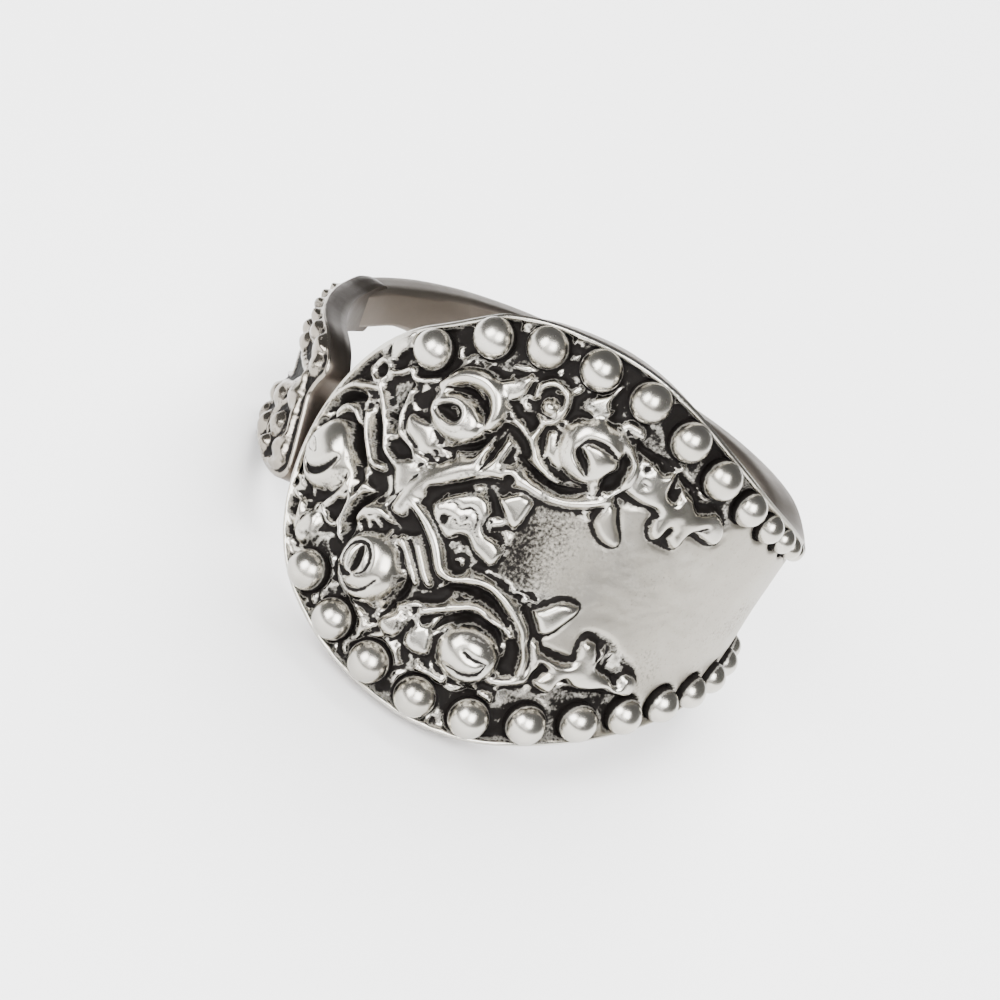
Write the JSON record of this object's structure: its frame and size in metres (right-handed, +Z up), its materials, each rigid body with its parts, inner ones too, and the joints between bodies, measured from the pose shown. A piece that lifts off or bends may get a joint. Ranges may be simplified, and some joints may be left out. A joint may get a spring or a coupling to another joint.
{
  "type": "spoon ring",
  "caption": "Silver bypass ring made like a wound spoon handle, with a wide shield of cast roses, leaves and a beaded border, open beside a small leaf-shaped tail.",
  "frame": {"origin": "bottom centre of the bounding box, on the surface that the ring lies on", "axes": "+Z is up from that surface, the shield faces -Y, and the finger's axis leans from +Z towards +Y"},
  "size_m": [0.0208, 0.0234, 0.0142],
  "materials": {
    "antique_silver": "antiqued cast silver, bright on the raised parts and black in the hollows"
  },
  "bodies": {
    "root": {"spoon_ring": "antique_silver"}
  },
  "joints": []
}
